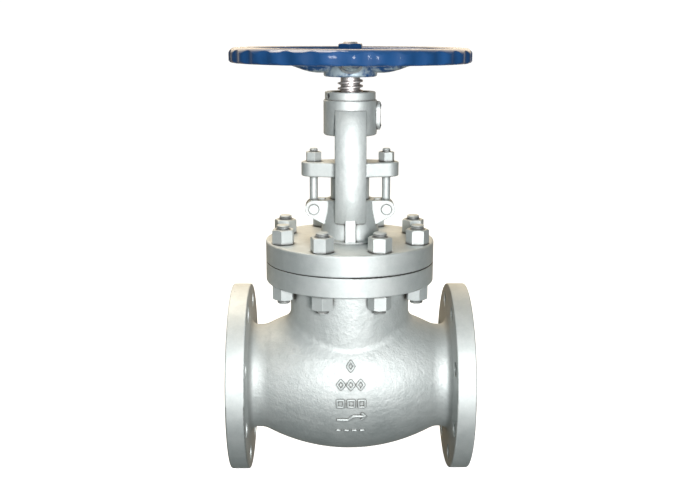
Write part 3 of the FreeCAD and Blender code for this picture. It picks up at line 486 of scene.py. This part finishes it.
def mark_rows():
    """Plain cast marks: a diamond, three diamonds, three blocks, a stepped arrow and a row of dashes."""
    rows = {}
    rows["mark_diamond"] = [raised_stroke(diamond(0.0, 38.5, 4.0, 5.6), True)]
    rows["mark_diamonds"] = [
        raised_stroke(diamond(u, 18.0, 4.2, 5.6), True) for u in (-11.5, 0.0, 11.5)
    ]
    rows["mark_blocks"] = [
        raised_stroke(block(u, -4.5, 3.8, 4.2), True) for u in (-12.0, 0.5, 13.0)
    ]
    rows["mark_flow_arrow"] = [
        raised_stroke([(-16.0, -26.0), (-3.0, -26.0), (3.0, -21.0), (17.0, -21.0)], radius=SHAFT_RADIUS),
        raised_stroke([(12.5, -16.5), (17.8, -21.0), (12.5, -25.5)], radius=HEAD_RADIUS),
    ]
    rows["mark_dashes"] = [
        raised_stroke([(u - DASH_HALF, -41.5), (u + DASH_HALF, -41.5)]) for u in (-14.0, -4.7, 4.7, 14.0)
    ]
    for name, strokes in rows.items():
        join_strokes(strokes, name)


mark_rows()


# ---------------------------------------------------------------- floor, light, camera

FLOOR_HALF = 6.0
FLOOR_GAP = 0.2 * MM
AIM = (STEM_X, 0.0, 0.15)
CAMERA_PLACE = (STEM_X - 0.0230, -1.1910, 0.4192)
CAMERA_TURN = -1.12
CAMERA_DIP = 12.28
CAMERA_ROLL = 0.2
CAMERA_LENS = 51.33


def make_floor():
    mesh = bpy.data.meshes.new("floor")
    corners = [(-FLOOR_HALF, -FLOOR_HALF), (FLOOR_HALF, -FLOOR_HALF),
               (FLOOR_HALF, FLOOR_HALF), (-FLOOR_HALF, FLOOR_HALF)]
    mesh.from_pydata([(STEM_X + x, y, FLOOR_Z - FLOOR_GAP) for x, y in corners], [], [(0, 1, 2, 3)])
    floor = bpy.data.objects.new("floor", mesh)
    bpy.context.scene.collection.objects.link(floor)
    n = Finish("floor_white")
    faint_grain = n.bump(n.noise(60.0), 0.0002, None, 0.1)
    white = n.done((0.80, 0.80, 0.80, 1.0), 0.0, 0.8, faint_grain, Specular_IOR_Level=0.1,
                   Emission_Color=(1.0, 1.0, 1.0, 1.0), Emission_Strength=0.88)
    mesh.materials.append(white)
    floor.visible_glossy = False
    floor.visible_diffuse = False


def make_world():
    """Soft room light: warm and bright low behind the valve, pale overhead, dim at the sides."""
    world = bpy.data.worlds.new("room")
    bpy.context.scene.world = world
    world.use_nodes = True
    n = Nodes(world.node_tree)
    across, back, up = n.split(n.new("ShaderNodeTexCoord").outputs["Generated"])
    sides = n.mix(n.ramp(up, -0.3, 0.7), (0.022, 0.042, 0.040, 1.0), (0.068, 0.098, 0.098, 1.0))
    warm = n.mix(n.ramp(up, -0.1, 0.35), (0.45, 0.34, 0.22, 1.0), (1.90, 1.50, 1.02, 1.0))
    lit = n.new("ShaderNodeBackground")
    n.feed(lit.inputs["Color"], n.mix(n.ramp(back, 0.45, 0.95), sides, warm))
    plain = n.new("ShaderNodeBackground")
    n.feed(plain.inputs["Color"], (1.0, 1.0, 1.0, 1.0))
    n.feed(plain.inputs["Strength"], 1.05)
    choose = n.new("ShaderNodeMixShader")
    n.feed(choose.inputs[0], n.new("ShaderNodeLightPath").outputs["Is Camera Ray"])
    n.feed(choose.inputs[1], lit.outputs[0])
    n.feed(choose.inputs[2], plain.outputs[0])
    n.feed(n.new("ShaderNodeOutputWorld").inputs["Surface"], choose.outputs[0])


def area_light(name, place, size, power, colour=(1.0, 1.0, 1.0)):
    """A round lamp that points at the valve."""
    light = bpy.data.lights.new(name, "AREA")
    light.shape = "DISK"
    light.size = size
    light.energy = power
    light.color = colour
    lamp = bpy.data.objects.new(name, light)
    lamp.location = place
    lamp.rotation_mode = "QUATERNION"
    lamp.rotation_quaternion = (Vector(AIM) - Vector(place)).to_track_quat("-Z", "Y")
    bpy.context.scene.collection.objects.link(lamp)


def make_camera():
    data = bpy.data.cameras.new("camera")
    data.lens = CAMERA_LENS
    data.sensor_width = 36
    camera = bpy.data.objects.new("camera", data)
    bpy.context.scene.collection.objects.link(camera)
    camera.matrix_world = (
        Matrix.Translation(CAMERA_PLACE)
        @ Matrix.Rotation(math.radians(CAMERA_TURN), 4, "Z")
        @ Matrix.Rotation(math.radians(90 - CAMERA_DIP), 4, "X")
        @ Matrix.Rotation(math.radians(CAMERA_ROLL), 4, "Z")
    )
    bpy.context.scene.camera = camera


make_floor()
make_world()
area_light("flash", place=(STEM_X + 0.14, -1.35, 0.42), size=0.30, power=26.0)
area_light("fill", place=(STEM_X - 0.60, -1.10, 0.40), size=0.7, power=2.0)
area_light("overhead", place=(STEM_X - 0.45, 0.45, 1.55), size=0.9, power=18.0, colour=(1.0, 0.87, 0.72))
make_camera()

bpy.context.scene.view_settings.view_transform = "Standard"
bpy.context.scene.view_settings.look = "None"
